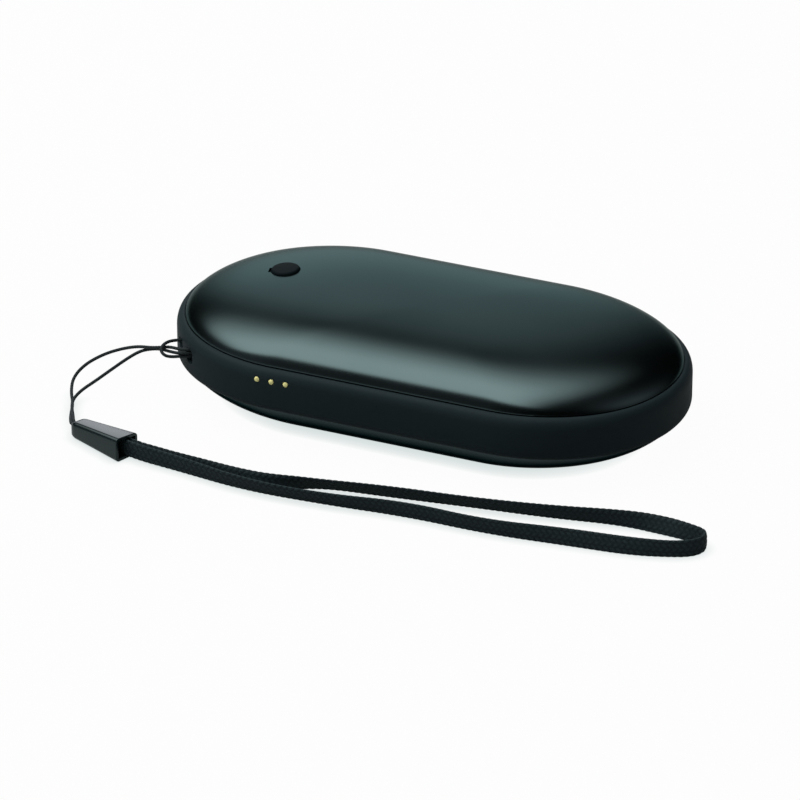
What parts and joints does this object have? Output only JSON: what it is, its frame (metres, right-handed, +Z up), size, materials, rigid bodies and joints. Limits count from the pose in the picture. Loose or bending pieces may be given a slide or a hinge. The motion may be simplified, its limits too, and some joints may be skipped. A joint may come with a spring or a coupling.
{
  "type": "rechargeable hand warmer",
  "caption": "Flat pebble-shaped rechargeable hand warmer with metal covers, a side band, a push button, charging contacts and a wrist strap on a thin lanyard.",
  "frame": {"origin": "middle of the flat face that the pebble rests on", "axes": "+Z up out of the top cover, +X along the pebble away from the button and strap, -Y out of the side with the charging contacts"},
  "size_m": [0.1366, 0.0741, 0.0219],
  "materials": {
    "band_plastic": "fine matte black moulding",
    "cover_metal": "satin black anodised",
    "seal_tape": "black double-sided tape",
    "tray_plastic": "natural moulding",
    "board_laminate": "green solder mask",
    "screw_steel": "plated",
    "cell_foil": "dull pouch foil",
    "lead_red": "red insulation",
    "lead_black": "black insulation",
    "lead_white": "white insulation",
    "foam": "closed-cell foam",
    "heater_film": "amber film",
    "chip_black": "black moulding compound",
    "coil_ferrite": "grey ferrite",
    "capacitor_ceramic": "tan ceramic",
    "button_plastic": "satin black moulding",
    "contact_gold": "gold plated",
    "cord_braid": "tight round braid",
    "connector_plastic": "satin black moulding",
    "strap_braid": "flat herringbone braid"
  },
  "bodies": {
    "housing": {"side_band": "band_plastic", "top_cover": "cover_metal", "bottom_cover": "cover_metal", "top_seal": "seal_tape", "bottom_seal": "seal_tape", "inner_tray": "tray_plastic", "main_board": "board_laminate", "board_screws": "screw_steel", "battery_cell": "cell_foil", "protection_board": "board_laminate", "battery_lead_positive": "lead_red", "battery_lead_negative": "lead_black", "top_foam": "foam", "bottom_foam": "foam", "top_heater": "heater_film", "bottom_heater": "heater_film", "top_heater_leads": "lead_white", "bottom_heater_leads": "lead_white", "thermistors": "chip_black", "controller_chip": "chip_black", "charger_chip": "chip_black", "power_inductor": "coil_ferrite", "board_capacitors": "capacitor_ceramic", "switch_body": "chip_black", "contact_block": "chip_black", "charge_contacts": "contact_gold", "lanyard_strand_upper": "cord_braid", "lanyard_strand_lower": "cord_braid", "lanyard_hitch": "cord_braid", "strap_connector": "connector_plastic", "wrist_strap": "strap_braid"},
    "button": {"button_cap": "button_plastic", "switch_plunger": "button_plastic"}
  },
  "joints": [
    {"name": "button_press", "type": "slide", "parent": "housing", "child": "button", "axis": [0, 0, -1], "range_m": [0, 0.0005], "stiffness_N_per_m": 2500, "springref_m": -0.0002}
  ]
}
